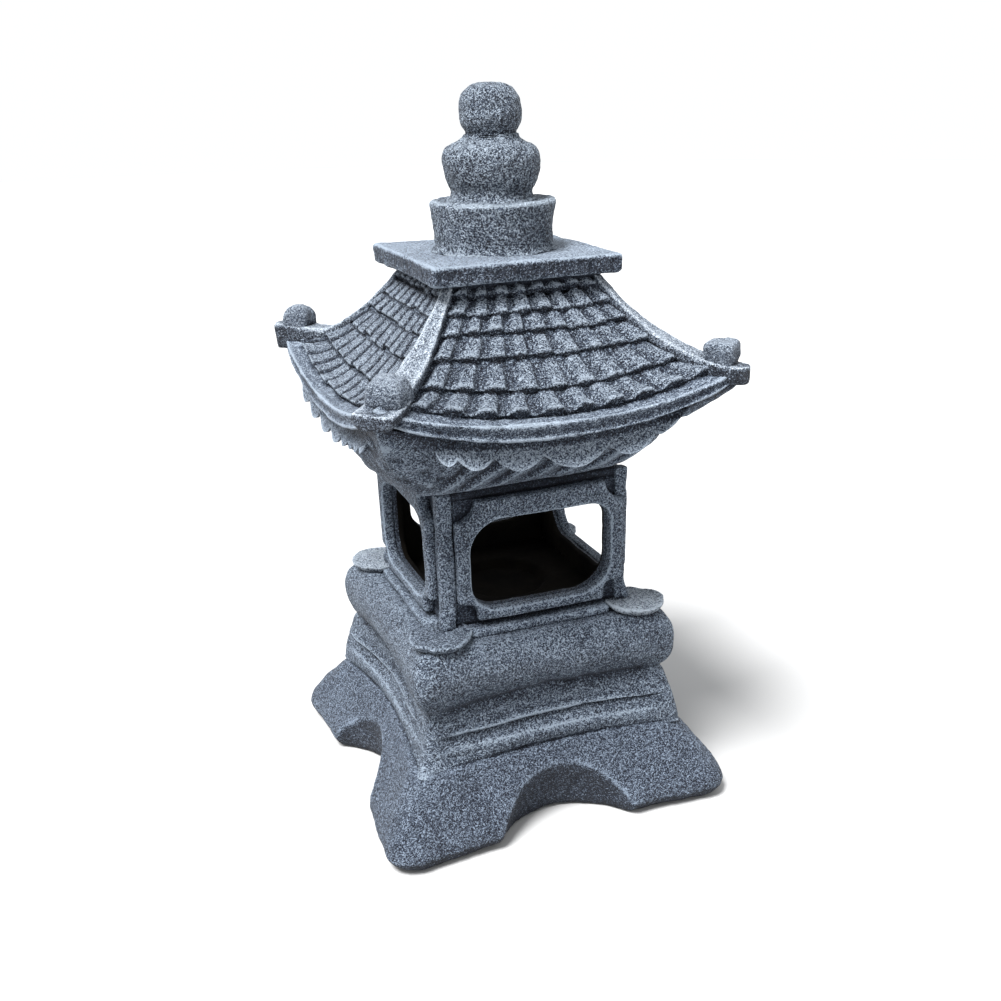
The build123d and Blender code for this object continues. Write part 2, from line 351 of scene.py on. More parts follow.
def weathered(skin, strength=1.0, layers=WEATHER, seed=0, chips=0.8):
    """Lumps, hollows and chipped arrises over a skin."""
    v, q, t = skin
    normals = vertex_normals(skin)
    arris = ramp(curvature(skin, normals), 0.04, 0.22)
    push = np.zeros(len(v))
    for number, (height, size) in enumerate(layers):
        push += height * noise(v, size, seed + number)
    push *= strength
    push -= chips * arris * ramp(noise(v, 6.0, seed + 21), 0.0, 0.8)
    push -= 0.35 * arris
    wobble = np.stack([noise(v, 48.0, 90 + k) for k in range(3)], -1) * (0.7, 0.7, 0.35)
    v[:, :3] += normals * push[:, None] + wobble * ramp(v[:, 2], 0, 12)[:, None]
    v[:, 2] = np.maximum(v[:, 2], 0.0)
    return v, q, t


# ---- pieces

pieces = []  # (CAD node, body, slot, skin, material)


def piece(node, skin, body, material, slot="stone"):
    """Keeps a finished skin, which stands for a CAD node."""
    pieces.append((node, body, slot, skin, material))


# -- Pedestal

foot = remeshed("foot_block", 1.3, 3)
foot_normals = vertex_normals(foot)
# Faces turned downwards are marked darker: painted shade under the arch and the feet.
foot[0][:, 3] += 0.75 * ramp(-foot_normals[:, 2], -0.05, 0.35)
arch_edge = ramp(curvature(foot, foot_normals), 0.03, 0.09) * (1 - ramp(foot[0][:, 2], 25.0, 28.0))
foot[0][:, 3] -= arch_edge * ramp(foot[0][:, 2], 3.0, 14.0) * (0.8 + 0.3 * noise(foot[0], 9.0, 9))
piece("foot_block", weathered(foot, 1.0, seed=3), "pedestal", "foot")


def drawn_in(skin):
    """The skin with its front left corner drawn in towards the axis."""
    v, q, t = skin
    near = ramp(-(v[:, 0] + v[:, 1]) / 2, 36.0, 57.0)
    v[:, :2] += (4.2 * near * ramp(v[:, 2], 30.0, 37.0) * (1 - ramp(v[:, 2], 55.0, 63.0)))[:, None]
    return v, q, t


lower_step = [
    (32, 53.6, 60.4, 0, 0.9), (33.2, 54.2, 60.2, 0, 0.6), (34.6, 54.6, 60, 0.2, 0.1),
    (37, 54.7, 59.6, 0.5, -0.1), (39, 54.5, 59.3, 0.7, -0.2), (40.4, 54.1, 59.1, 0.5, -0.7),
    (41.6, 53.4, 58.8, 0, 0.1), (43.2, 52.5, 58.4, -0.4, 0.15), (44.8, 51.7, 58, -0.5, 0.25),
    (45.6, 51.2, 57.8, -0.7, 1), (46, 51, 57.7, -0.7, 1),
]
piece("lower_step", weathered(drawn_in(course(lower_step, 15.0)), 0.7, seed=11), "pedestal", "pedestal")

upper_step = [
    (45.7, 50.9, 57.6, -0.6, 1), (46, 51.5, 57.7, 0.5, 0.4), (46.4, 51.6, 57.7, 1, -0.9),
    (47, 51.6, 57.6, 1.1, -0.6), (47.8, 51.2, 57.4, 0.6, 0), (49, 50.6, 57, -0.2, 0),
    (51.5, 50, 56.3, -0.2, -0.15), (54, 49.4, 55.6, 0, 0), (57, 49.1, 54.5, 0, 0.45),
    (58.6, 49, 54, 0, 0.9),
]
piece("upper_step", weathered(drawn_in(course(upper_step, 15.0)), 0.7, seed=17), "pedestal", "pedestal")

roll = [
    (57.6, 48.6, 53, 0, 1), (59, 50.2, 54.2, 0, 0.9), (62, 53.4, 56.2, 0, 0.2),
    (67, 56.2, 57.6, 0, 0), (73, 57, 57.8, 0, 0), (78, 55.8, 56.8, 0, 0),
    (82, 52.8, 54.6, 0, 0), (84.2, 50.2, 52.8, 0, 0),
]
skin = weathered(course(smooth_profile(roll, 6), 15.0), 1.1, seed=23)
piece("platform_roll", skin, "pedestal", "pedestal")

piece("sill_course", weathered(remeshed("sill_course", 1.2), 0.7, seed=31), "pedestal", "chamber")

PAD = 44.9  # how far each pad's middle is from both centre lines
pad_profile = [
    (84.2, 9), (84.8, 10.4), (86.4, 12.2), (87.5, 12.9), (88.1, 12.8), (88.2, 12.2), (87.8, 11),
    (87.9, 4),
]
for number, (corner, turn) in enumerate(CORNERS.items()):
    v, q, t = round_skin(pad_profile, 0.8, (PAD, -PAD))
    out = v[:, :2] - (PAD, -PAD)
    reach = np.linalg.norm(out, axis=1)
    rim = ramp(reach, 8.0, 12.6)
    plan = np.stack([out[:, 0], out[:, 1], np.full(len(v), 7.0 * number)], -1)
    ragged = noise(plan, 5.0, 40) + 0.5 * noise(plan, 2.2, 41)
    v[:, :2] += out / np.maximum(reach, 1e-6)[:, None] * (0.9 * rim * ragged)[:, None]
    v[:, 2] += 0.5 * rim * np.roll(ragged, 3)
    skin = weathered((turned(v, turn), q, t), 0.7, seed=43 + number, chips=0.3)
    piece(f"corner_pad_{corner}", skin, "pedestal", "pedestal" if corner == "front_left" else "pad")

# -- Light chamber


def flared(skin, rise):
    """The skin spread outwards at the corners where the posts meet the roof and the pads."""
    v, q, t = skin
    near = ramp(np.minimum(np.abs(v[:, 0]), np.abs(v[:, 1])), 33.0, 41.0)
    spread = 0.5 * ramp(v[:, 2], 134.0, 146.0) + 1.8 * (1 - ramp(v[:, 2], 88.0, 97.0))
    v[:, :2] += np.sign(v[:, :2]) * (near * spread)[:, None]
    v[:, 2] += rise * ramp(v[:, 2], 120.0, 143.0)
    return v, q, t


for number, corner in enumerate(CORNERS):
    skin = weathered(flared(remeshed(f"corner_post_{corner}", 0.8), 3.5), 0.6, seed=51 + number)
    piece(f"corner_post_{corner}", skin, "light_chamber", "chamber")


def raised_sill(skin, rise):
    """The skin with the window's lower edge drawn up, and the frame's outer edge left as it is."""
    v, q, t = skin
    v[:, 2] += rise * ramp(v[:, 2], 91.5, 95.3) * (1 - ramp(v[:, 2], 100.0, 122.0))
    return v, q, t


def widened(skin, limit):
    """The skin of the front window, stretched to the right as far as `limit`."""
    v, q, t = skin
    v[:, 0] += 2.8 * ramp(v[:, 0], 2.0, 29.0) * (1 - ramp(v[:, 0], limit, limit + 5))
    return v, q, t


WINDOW_HALF, WINDOW_MIDDLE, WINDOW_ROUND = np.array([29.8, 19.6]), 114.9, 8.0  # as in the CAD
WALL_FACE = 44.0  # only the frames stand out further
WINDOW_CORNERS = {(-1, 1): 14.0, (1, 1): 9.5, (-1, -1): 11.5, (1, -1): 14.0}


def window_gap(across, height, radius):
    """Distance outwards from the edge of a window with the given corner radius."""
    off = np.stack([np.abs(across), np.abs(height - WINDOW_MIDDLE)], -1) - (WINDOW_HALF - radius)
    return np.linalg.norm(np.maximum(off, 0), axis=1) + np.minimum(off.max(1), 0) - radius


def rounder(skin, turn):
    """The skin with the corners of its window filled to larger radii, and a pale front arris."""
    v, q, t = skin
    local = turned(v, -turn)
    gap = window_gap(local[:, 0], local[:, 2], WINDOW_ROUND)
    for (side, up), radius in WINDOW_CORNERS.items():
        centre = WINDOW_HALF - radius
        out = np.stack([side * local[:, 0], up * (local[:, 2] - WINDOW_MIDDLE)], -1) - centre
        reach = np.maximum(np.linalg.norm(out, axis=1), 1e-6)
        inside = (out > 0).all(1) & (gap < 6)
        pull = np.clip(reach - gap - radius, 0, None) * (1 - ramp(gap, 0.8, 5.5)) * inside
        local[:, 0] -= side * out[:, 0] / reach * pull
        local[:, 2] -= up * out[:, 1] / reach * pull
    if np.abs(local[:, 1]).max() > WALL_FACE:
        local[:, 3] -= (1 - ramp(np.abs(gap - 0.5), 0.1, 0.8)) * ramp(-local[:, 1], 44.3, 45.0)
    return turned(local, turn), q, t


SILL_RISE = {"front": 0.0, "right": 0.6, "back": 4.2, "left": 0.0}
for number, (side, turn) in enumerate(SIDES.items()):
    for stem, voxel, strength in (("wall_panel", 1.0, 0.6), ("window_frame", 0.75, 0.36)):
        skin = raised_sill(rounder(remeshed(f"{stem}_{side}", voxel), turn), SILL_RISE[side])
        if side == "front":
            skin = widened(skin, 34.0 if stem == "wall_panel" else 99.0)
        skin = weathered(skin, strength, seed=61 + number, chips=0.6)
        if stem == "window_frame":
            skin[0][:, 3] -= 0.9 * ramp(curvature(skin, vertex_normals(skin)), 0.05, 0.20)
        piece(f"{stem}_{side}", skin, "light_chamber", "chamber" if stem == "window_frame" else "panel")

skin = weathered(remeshed("head_course", 1.1), 0.5, seed=81)
skin[0][:, :2] *= 0.985
# The whole band is marked darker: painted shade under the soffit.
skin[0][:, 3] += 0.5
piece("head_course", skin, "light_chamber", "collar")

# -- Roof: soffit


def fluted(skin):
    """Slanting folds across the bowl under the eaves, each with a steep lower side."""
    v, q, t = skin
    normals = vertex_normals(skin)
    out = np.zeros(len(v))
    mark = np.zeros(len(v))
    for turn in SIDES.values():
        local = turned(v, -turn)
        facing = ramp(-local[:, 1] - np.abs(local[:, 0]), -6, 4)
        slant = local[:, 0] - 0.95 * (local[:, 2] - 160) + 1.8 * noise(v, 16.0, 5 + turn)
        saw = (slant / 13.5) % 1.0
        fold = ramp(saw, 0.0, 0.16) * (1 - saw) ** 0.8
        middle = 1 - ramp(np.abs(local[:, 0]), 38, 50)
        out += facing * middle * (3.0 * fold - 1.1)
        # The steep lower side of each fold and the end of its slope are marked darker: painted shade.
        mark += facing * middle * (0.75 * (1 - ramp(saw, 0.0, 0.10)) + 0.45 * ramp(saw, 0.55, 1.0))
        mark -= facing * middle * 0.5 * ramp(saw, 0.08, 0.2) * (1 - ramp(saw, 0.2, 0.4))
    height = ramp(v[:, 2], 149.0, 154) * (1 - ramp(v[:, 2], 171, 175))
    v[:, :3] += normals * (out * height)[:, None]
    carved = ramp(np.minimum(np.abs(v[:, 0]), np.abs(v[:, 1])), 38.0, 50.0)
    carved *= ramp(v[:, 2], 152.0, 158.0) * (1 - ramp(v[:, 2], 178.0, 183.0))
    flow = v[:, :3] + np.stack([0.5 * (v[:, 2] - 160), -0.5 * (v[:, 2] - 160), 0 * v[:, 2]], -1)
    lumps = noise(flow * (1, 1, 0.6), 7.5, 77) + 0.5 * noise(flow, 4.2, 78)
    v[:, :3] += normals * (1.7 * carved * lumps)[:, None]
    v[:, 3] += carved * (0.9 * ramp(-lumps, 0.1, 0.7) - 0.5 * ramp(lumps, 0.3, 0.8))
    # Just under the fascias the bowl is marked darker: a painted shadow of the fascias.
    across = np.minimum(np.abs(v[:, 0]), np.abs(v[:, 1]))
    below = 174.6 + 12.8 * (across / 74.0) ** 2.2 + 2.9 * (across / 74.0) ** 3 - v[:, 2]
    v[:, 3] += mark * height + 1.2 * (1 - ramp(below, 2.0, 6.0))
    return v, q, t


def bowl():
    """The stone under the eaves; its rim follows the underside of the fascias up to the corners."""
    # height, then half widths: full, left and slim at mid side, full and slim at the corner
    table = [
        (144.6, 31.8, 31.8, 31.8, 31.8, 31.8), (146.8, 32, 32, 32, 32, 32),
        (147.6, 43.5, 45.5, 40.6, 42, 40.6), (150.3, 49.4, 52, 43.5, 48, 41.7),
        (153.1, 53, 57, 46.5, 52.5, 42.9), (155.6, 55.6, 60.5, 49.5, 55.8, 45),
        (158.1, 57.7, 63.5, 52.3, 58.5, 47.4), (160.6, 59.6, 66, 55, 61, 50.1),
        (164.8, 62, 68.5, 59, 64, 52.1), (168.5, 64.2, 69.6, 62.5, 66.5, 54.7),
        (172, 66.3, 70, 65.3, 68.5, 58.7), (175.9, 68.3, 70, 67.8, 70.2, 62.9),
        (179.7, 69.6, 70.2, 69.3, 71.6, 67.1), (182.9, 70.5, 70.6, 70.5, 72.8, 70.8),
        (186, 71, 71, 71, 73.8, 73.6), (190, 71.5, 71.5, 71.5, 75, 75),
    ]
    heights, full_face, left_face, slim_face, full_end, slim_end = np.array(table).T
    t = np.linspace(-1, 1, 122, endpoint=False)
    rim = 175.2 + 12.7 * np.abs(t) ** 2.2 + 2.9 * np.abs(t) ** 3
    share = np.concatenate([[0, 0.012], np.linspace(0.03, 1, 36)])
    z = 144.6 + (rim - 144.6) * share[:, None]
    z[0], z[1], z[2] = 144.6, 146.9, 147.4
    sides = []
    for side, turn in SIDES.items():
        first, last = {"front": (1, 0), "right": (0, 0), "back": (0, 1), "left": (1, 1)}[side]
        fullness = first + (last - first) * (t + 1) / 2
        face = fullness * np.interp(z, heights, full_face) + (1 - fullness) * np.interp(z, heights, slim_face)
        if side == "left":
            face = np.interp(z, heights, left_face)
        which = np.where(t > 0, last, first)
        end = which * np.interp(z, heights, full_end) + (1 - which) * np.interp(z, heights, slim_end)
        width = face + (end * 2 ** (1 / 7.0) - face) * np.abs(t) ** 3.0
        reach = width / (np.abs(t) ** 7.0 + 1) ** (1 / 7.0)
        sides.append(turned(np.stack([t * reach, -reach, z], -1), turn))
    return tube(np.concatenate(sides, axis=1))


soffit = fluted(averaged(bowl(), 1))
piece("soffit_bed", weathered(soffit, 1.0, seed=91), "roof", "soffit")

# -- Roof: slopes and tiles

HIP_START, EAVE_HALF = 34.6, 70.0


def climb(half):
    """How far up the slope a place `half` from the axis is: 0 at the eave and 1 at the top."""
    return np.clip((EAVE_HALF - half) / (EAVE_HALF - HIP_START), 0, 1.15)


def hip_line(half):
    """Height of the hip, `half` from the axis."""
    return 192.5 + 26.6 * climb(half) ** 1.9


def slope_height(half, across):
    """Height of a roof slope: `half` from the axis, `across` from its centre line."""
    hip = hip_line(half)
    middle = 181.0 + 37.8 * climb(half) ** 1.35
    return middle + (hip - middle) * (np.abs(across) / np.maximum(half, 1)) ** 2


def hem(half):
    """Distance from the hip at which the tiles stop, under the ridge."""
    return 2.5 + 3.3 * ramp(half, 31.0, 64.0)


# Where a tile has a row of points, from 0 to 1 across it.
RIB = (0.0, 0.07, 0.14, 0.21, 0.28, 0.35, 0.42, 0.49, 0.57, 0.65, 0.73, 0.80, 0.85, 0.89, 0.93, 0.965)
BAR = (0.0, 0.04, 0.08, 0.12, 0.17, 0.24, 0.33, 0.44, 0.56, 0.67, 0.76, 0.83, 0.88, 0.92, 0.96)


def tile_course(upper, lower, count, shift, ribbed, seed):
    """One course of tiles on the front slope, between two half widths."""
    rng = np.random.default_rng(seed)
    edges = (np.arange(-1, count + 2) + shift) / count * 2 - 1
    edges += rng.uniform(-0.16, 0.16, len(edges)) / count
    stations = np.array(RIB if ribbed else BAR)
    number = np.repeat(np.arange(len(edges) - 1), len(stations))
    part = np.tile(stations, len(edges) - 1)
    sigma = edges[number] + part * (edges[number + 1] - edges[number])
    inside = np.abs(sigma) <= 1
    number, part, sigma = number[inside], part[inside], sigma[inside]
    depth = np.linspace(0, 1, int((lower - upper) / 0.62) + 3)[None, :]
    half = upper + (lower - upper) * depth
    across = sigma[:, None] * (half - hem(half))
    width = (edges[number + 1] - edges[number]) * lower
    if ribbed:
        form = ramp(part, 0.20, 0.50) * (1 - ramp(part, 0.85, 0.98))
        bump = 2.5 * form + 0.5 * np.sin(math.pi * part) * form
        edge_out = 1.3 * form - 0.7
        # The trough and the steep right side of each rib are marked darker: less dry-brushing in the trough
        # and painted shade on the side turned from the light.
        mark = 0.52 * (1 - ramp(part, 0.22, 0.46)) - 0.14 * form
        mark += 0.8 * ramp(part, 0.88, 0.97) + 0.5 * (1 - ramp(part, 0.0, 0.08))
    else:
        near = np.minimum(part, 1 - part) * width
        form = np.sqrt(1 - (1 - np.clip(near / 2.2, 0, 1)) ** 2)
        bump = 1.7 * form
        edge_out = 0.7 * form - 0.6
        # The joints are marked dark, as dark paint and painted shade, and the far part of each bar darker as
        # painted shade.
        mark = 1.5 * (1 - ramp(near, 0.7, 1.6)) + 0.9 * ramp(part, 0.74, 0.84) - 0.14 * form
    lifts = rng.uniform(-0.3, 0.35, len(edges))[number]
    pushes = rng.uniform(-0.5, 0.6, len(edges))[number]
    tilts = rng.uniform(-0.5, 0.5, len(edges))[number]
    bump = bump + lifts * form + tilts * (part - 0.5) * form
    edge_out = edge_out + pushes
    half = half + edge_out[:, None] * depth**2
    top = slope_height(half, across) + 0.5 + (1.9 if ribbed else 1.0) * depth
    top = top + bump[:, None] * (0.5 + 0.5 * depth)
    across = np.broadcast_to(across, top.shape)
    edge_half, edge_top, edge_across = half[:, -1:], top[:, -1:], across[:, -1:]
    base = slope_height(edge_half, edge_across) - 0.6
    drop = edge_top - base
    lip_half = edge_half + np.array([[0.22, 0.0, -0.8, -1.5]])
    lip_top = edge_top - drop * np.array([[0.12, 0.32, 0.62, 1.0]])
    lip_across = np.broadcast_to(edge_across, lip_top.shape)
    back = np.array([[0.66, 0.33, 0.0]])
    under_half = upper + (edge_half - 1.6 - upper) * back
    under_across = edge_across * (under_half - hem(under_half)) / (edge_half - hem(edge_half))
    under_top = slope_height(under_half, under_across) - 0.6
    run = depth * (lower - upper)
    # Each course's top edge, under the course above, is marked dark as a painted shadow; the lip's underside
    # is marked dark as painted shade and its front edge paler.
    marks = mark[:, None] * (0.7 + 0.3 * depth) + 1.1 * (1 - ramp(run, 0.3, 1.3))
    marks = marks - 0.35 * ramp(run, lower - upper - 0.9, lower - upper)
    lip_marks = np.array([[-0.1, 1.0, 1.3, 1.3]]) + 0.3 * np.maximum(mark[:, None], 0)
    rows = np.stack(
        [
            np.concatenate([across, lip_across, under_across], 1),
            -np.concatenate([half, lip_half, under_half], 1),
            np.concatenate([top, lip_top, under_top], 1),
            np.concatenate([marks, lip_marks, np.ones_like(under_top)], 1),
        ],
        -1,
    )
    return tube(rows, (0.5,))


# Half widths between which the courses lie, and how many tiles each course has.
COURSE_ENDS = [30.6, 33.6, 38.3, 43.4, 50.5, 60.0, 70.2]
RIBBED = [8, 8, 9, 9, 9, 10]
BLOCKS = [9, 9, 9, 10, 10, 11]
TILE_WEATHER = ((0.22, 11), (0.15, 4.0), (0.13, 2.0), (0.08, 1.2))
for place, (side, turn) in enumerate(SIDES.items()):
    ribbed = side in ("front", "back")
    skins = []
    for row in range(6):
        count = (RIBBED if ribbed else BLOCKS)[row]
        shift = 0.0 if ribbed else 0.5 * (row % 2)
        tiles = tile_course(*COURSE_ENDS[row : row + 2], count, shift, ribbed, 100 + 10 * place + row)
        skins.append(placed(tiles, turn))
    skin = weathered(joined(skins), 1.0, TILE_WEATHER, seed=110 + place, chips=0.25)
    piece(f"tile_courses_{side}", skin, "roof", "tiles", "tile_stone")
    skin = weathered(remeshed(f"roof_slope_{side}", 1.5), 0.4, seed=120 + place)
    piece(f"roof_slope_{side}", skin, "roof", "soffit")

# -- Roof: fascias


def eave_top(sigma):
    """Height of the eave, with `sigma` from -1 to 1 along a side."""
    return 180.8 + 12.8 * np.abs(sigma) ** 2.2


def fascia():
    """The band along the front eave, thinner towards its ends."""
    sigma = np.linspace(-1, 1, 200)[:, None]
    # Each row is (reach, rise, mark): the underside is marked dark as painted shade, and the front's arrises
    # pale.
    reach, rise, mark = np.array(
        [
            (69, 1, 0.8), (70.2, 0.9, 0.2), (72, 0.7, 0), (74.2, 0.35, 0),
            (75.2, 0.45, -0.2), (75.9, 0.6, -0.85), (76.4, 0.2, -0.3), (76.3, -0.5, 0),
            (75.7, -1.5, 0.15), (75.4, -2.6, 0.2), (75.3, -3.6, 0.2), (75.5, -4.4, 0.2),
            (76.1, -5, -0.3), (76.2, -5.6, -0.3), (75.6, -6.2, 0.6), (74, -6.4, 1),
            (72, -6.4, 1), (69.5, -6.2, 1), (69, -3, 1),
        ]
    ).T
    half = reach - 1.8 * np.abs(sigma) ** 10
    slimmer = 1 - 0.45 * np.abs(sigma) ** 3 * (rise < 0)
    height = eave_top(sigma) + rise * slimmer
    rows = np.stack([sigma * half, -half, height, np.broadcast_to(mark, half.shape)], -1)
    return tube(rows, (0.5,))


FASCIA_WEATHER = ((0.55, 22), (0.30, 7), (0.20, 3.0), (0.10, 1.5))
for number, (side, turn) in enumerate(SIDES.items()):
    skin = weathered(placed(fascia(), turn), 0.9, FASCIA_WEATHER, seed=130 + number, chips=0.5)
    piece(f"fascia_{side}", skin, "roof", "fascia")

# -- Roof: valances

# Where the scallops of each side meet.
LOBES = {
    "front": [-52.0, -44.2, -29.6, -9.9, 17.0, 37.6, 52.0],
    "right": [-52.0, -37.0, -19.0, 1.5, 20.0, 38.5, 52.0],
    "back": [-52.0, -35.0, -18.0, 0.0, 17.5, 36.0, 52.0],
    "left": [-52.0, -38.0, -20.0, -1.0, 16.0, 27.0, 36.0, 44.0, 52.0],
}


def valance(cusps, cut_end):
    """The scalloped skirt under the front eave.

    It shortens towards the end on the side of `cut_end`, 1 or -1, and flares at the other."""
    cusps = np.array(cusps)
    across = np.linspace(cusps[0], cusps[-1], 150)
    number = np.clip(np.searchsorted(cusps, across) - 1, 0, len(cusps) - 2)
    part = (across - cusps[number]) / (cusps[number + 1] - cusps[number])
    size = (cusps[number + 1] - cusps[number]) / 20.0
    top = eave_top(across / 76.0) - 5.6
    bow = np.sin(math.pi * part) ** 0.7
    hang = 6.6 + (1.5 + 4.4 * np.minimum(size, 1.2)) * bow
    hang = hang * (1 - 0.72 * ramp(across * cut_end, 36.0, 50.0))
    level = np.array([[0, 0.2, 0.3, 0.38, 0.46, 0.56, 0.7, 0.84, 0.93, 1.0]])
    height = top[:, None] - hang[:, None] * level
    flare = 70.4 + 2.2 * level**2 + (1.3 * bow)[:, None] * level**1.5
    flare = flare + 1.6 * ramp(-across * cut_end, 30.0, 46.0)[:, None] * level
    inside = flare[:, ::-1] - 1.6
    # Just under the fascia the skirt is marked dark as a painted shadow of the fascia, its inner face dark as
    # painted shade, and its lower edge pale.
    marks = 1.6 * (1 - ramp(top[:, None] - height, 3.4, 4.8))
    marks = marks + np.interp(level, [0.85, 0.93, 1.0], [0.0, -0.3, -0.95])
    rows = np.stack(
        [
            np.broadcast_to(across[:, None], (len(across), 20)),
            -np.concatenate([flare, inside], 1),
            np.concatenate([height, height[:, ::-1]], 1),
            np.concatenate([marks, np.ones_like(marks)], 1),
        ],
        -1,
    )
    return tube(rows, (0.5,))


for number, (side, turn) in enumerate(SIDES.items()):
    skin = placed(valance(LOBES[side], {"front": 1, "right": -1}.get(side, 0)), turn)
    skin = weathered(skin, 0.7, FASCIA_WEATHER, seed=140 + number, chips=0.3)
    piece(f"valance_{side}", skin, "roof", "valance")

# -- Roof: hip ridges and knobs


def hip_ridge(dip, thick, nose_length, sunk, spread):
    """A band down the hip at the front right corner, ending in a plate with a blunt nose.

    The plate dips by `dip`, is `thick` deeper than the band and `spread` wider, and the band
    lies `sunk` lower."""
    along = np.concatenate([np.linspace(31.2, 60.0, 46), np.linspace(60.7, 76.6, 34)])
    tip = ramp(along, 60, 68)
    top = np.maximum(hip_line(along) + 3.6, 197.4) - dip * ramp(along, 58, 74)
    top = top - sunk * (1 - ramp(along, 56, 64))
    wide = 2.4 + 3.2 * ramp(along, 31, 60) + (0.9 + spread) * ramp(along, 60, 67)
    nose = np.sqrt(np.clip(1 - ((along - 76.6 + nose_length) / nose_length).clip(0, 1) ** 2, 0.03, 1))
    wide = wide * nose
    low = np.where(along < 62, hip_line(along) - 2.5, np.minimum(hip_line(along) - 2.5, 190.5))
    low = low - (dip + thick) * ramp(along, 62, 74)
    # Each point is (across, height, mark): the flanks and the underside are marked darker as painted shade,
    # the top's arrises paler.
    shape = [
        (-1, -0.6, -0.3), (-0.9, -0.08, -0.8), (-0.6, 0.1, -0.2), (-0.2, 0.16, 0), (0.2, 0.16, 0),
        (0.6, 0.1, -0.2), (0.9, -0.08, -0.8), (1, -0.6, -0.3), (1.02, -1.4, 0.3), (1, -2.6, 0.5),
    ]
    rows = []
    for w, z, b, under, dark in zip(along, top, wide, low, tip):
        middle = 0.5 * (z - 2.6 + under)
        loop = [(b * x, z + dz, m) for x, dz, m in shape]
        loop += [(b, 0.5 * (z - 2.6 + middle), 0.6), (b * 0.98, middle, 0.6), (b * 0.8, under, 0.9)]
        loop += [(b * 0.3, under, 1.0), (-b * 0.3, under, 1.0), (-b * 0.8, under, 0.9)]
        loop += [(-b * 0.98, middle, 0.6), (-b, 0.5 * (z - 2.6 + middle), 0.6)]
        loop += [(-b, z - 2.6, 0.5), (-b * 1.02, z - 1.4, 0.3)]
        sideways, height, mark = np.array(loop).T
        mark = mark + 0.6 * dark * (mark > -0.5)
        x, y = w + sideways / math.sqrt(2), -w + sideways / math.sqrt(2)
        ring = np.stack([x, y, height, mark], -1)
        ring = np.stack([ring, 0.5 * (ring + np.roll(ring, -1, axis=0))], 1).reshape(-1, 4)
        rows.append(ring)
    return averaged(tube(np.array(rows), (0.5,)), 1)


def knob(top, half, dome, place=68.3, base=193.6):
    """A boss on the tip at the front right corner: squarish at `dome` 0, and rounder up to 1."""
    square = [(0, 0.90), (0.35, 0.97), (0.72, 1.0), (0.91, 0.95), (0.98, 0.80), (1.0, 0.40), (1.0, 0.10)]
    round_top = [(0, 0.86), (0.30, 1.0), (0.55, 0.97), (0.78, 0.80), (0.92, 0.55), (0.99, 0.25), (1.0, 0.06)]
    shape = (1 - dome) * np.array(square) + dome * np.array(round_top)
    profile = smooth_profile([(base + share * (top - base), reach * half) for share, reach in shape], 5)
    a = np.linspace(0, 2 * math.pi, 96, endpoint=False)
    n = 6.5 - 2.5 * dome
    radius = 1 / (np.abs(np.cos(a)) ** n + np.abs(np.sin(a)) ** n) ** (1 / n)
    x = profile[:, 1:] * (radius * np.cos(a))
    y = profile[:, 1:] * (radius * np.sin(a))
    x, y = (x + y) / math.sqrt(2), (y - x) / math.sqrt(2)
    z = np.broadcast_to(profile[:, :1], x.shape)
    rows = np.stack([place + x, -place + y, z], -1)
    return tube(rows, (0.5,))


# The arguments of each corner's knob and ridge.
KNOBS = {
    "front_right": (203.4, 6.3, 0.0),
    "back_right": (204.6, 6.0, 0.3),
    "back_left": (206.8, 6.2, 0.75),
    "front_left": (203.9, 7.3, 0.8, 65.8, 189.6),
}
TIPS = {
    "front_right": (3.0, 0.0, 5.0, 0.0, 0.0),
    "back_right": (1.5, 1.0, 3.0, 0.8, 0.0),
    "back_left": (-1.2, 4.5, 1.4, 2.4, 0.0),
    "front_left": (4.6, -1.4, 1.6, 0.3, 1.9),
}
RIDGE_WEATHER = ((0.35, 16), (0.30, 6), (0.20, 2.6), (0.10, 1.4))
for number, (corner, turn) in enumerate(CORNERS.items()):
    skin = placed(hip_ridge(*TIPS[corner]), turn)
    skin = weathered(skin, 0.9, RIDGE_WEATHER, seed=150 + number, chips=0.4)
    piece(f"hip_ridge_{corner}", skin, "roof", "ridge", "ridge_stone")
    skin = placed(knob(*KNOBS[corner]), turn)
    skin = weathered(skin, 1.9, RIDGE_WEATHER, seed=160 + number, chips=0.7)
    piece(f"ridge_knob_{corner}", skin, "roof", "knob", "ridge_stone")

# -- Roof: collar and cap

collar = [
    (218, 30, 30), (222.5, 30.4, 30.4), (224.8, 31, 31), (226.2, 32.4, 32.4),
    (227.8, 34.2, 34.4),
]
piece("roof_collar", weathered(course(collar, 3.0), 0.6, seed=171), "roof", "collar")

cap = [
    (227.5, 36.6, 36.6), (227.7, 38.6, 38.8), (228.4, 39.3, 39.5), (231.5, 39.3, 39.4),
    (234.4, 39.5, 39.7), (235.3, 39.2, 39.4), (235.6, 38.4, 38.6), (235.5, 30, 30),
    (235.4, 21, 21),
]
CAP_WEATHER = ((0.45, 20), (0.30, 8), (0.16, 3.6), (0.10, 1.8))
v, q, t = weathered(course(cap, 2.2, step=0.8), 0.85, CAP_WEATHER, seed=175)
rim = ramp(np.abs(v[:, :2]).max(1), 37.8, 39.0)
level = ramp(v[:, 2], 228.4, 229.6) * (1 - ramp(v[:, 2], 233.6, 234.8))
marks = noise(v[:, :3] * (1, 1, 0.12), 1.6, 176)
v[:, :2] *= (1 + 0.010 * rim * level * (marks - 0.4))[:, None]
v[:, 3] += rim * (0.45 * level - 0.55 * ramp(v[:, 2], 234.2, 235.2) - 0.4 * (1 - ramp(v[:, 2], 228.0, 229.0)))
piece("cap_slab", (v, q, t), "roof", "cap")

# -- Finial

